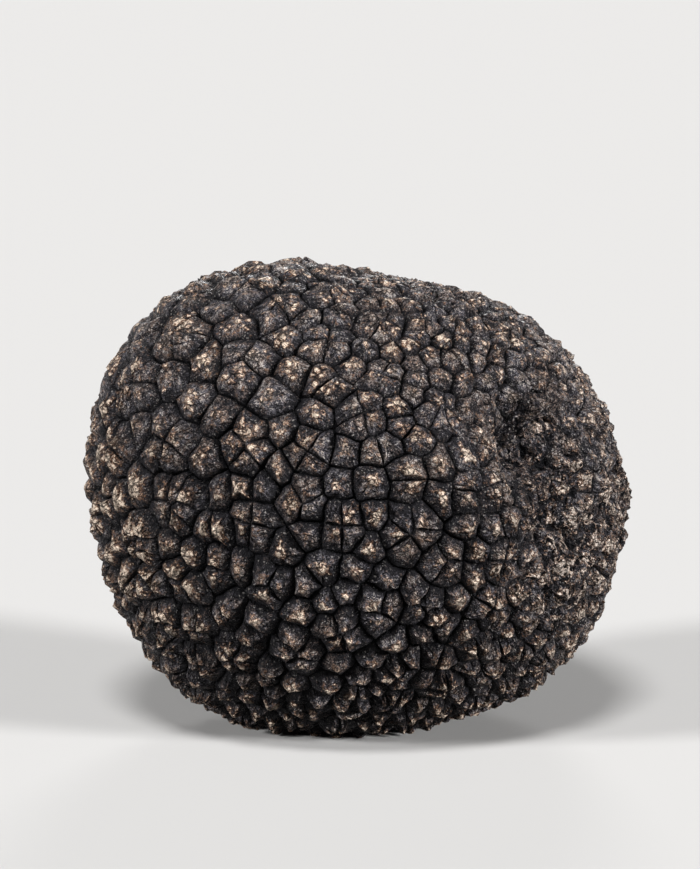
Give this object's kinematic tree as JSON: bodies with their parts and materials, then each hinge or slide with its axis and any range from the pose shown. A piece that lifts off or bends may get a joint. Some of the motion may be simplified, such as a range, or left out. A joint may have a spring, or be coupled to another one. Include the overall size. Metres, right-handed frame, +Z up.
{
  "type": "black truffle",
  "caption": "Lumpy round black truffle with a skin of polygonal pyramid warts, resting on a small flat spot.",
  "frame": {"origin": "on the resting plane, below the middle of the overall box", "axes": "+Z up, +X to the right along the longest side, -Y towards the front"},
  "size_m": [0.06, 0.055, 0.0516],
  "materials": {
    "truffle_skin": "matt charcoal-black warts with rubbed tan and rust-brown scars on their peaks, darker in the grooves"
  },
  "bodies": {
    "root": {"truffle_body": "truffle_skin"}
  },
  "joints": []
}
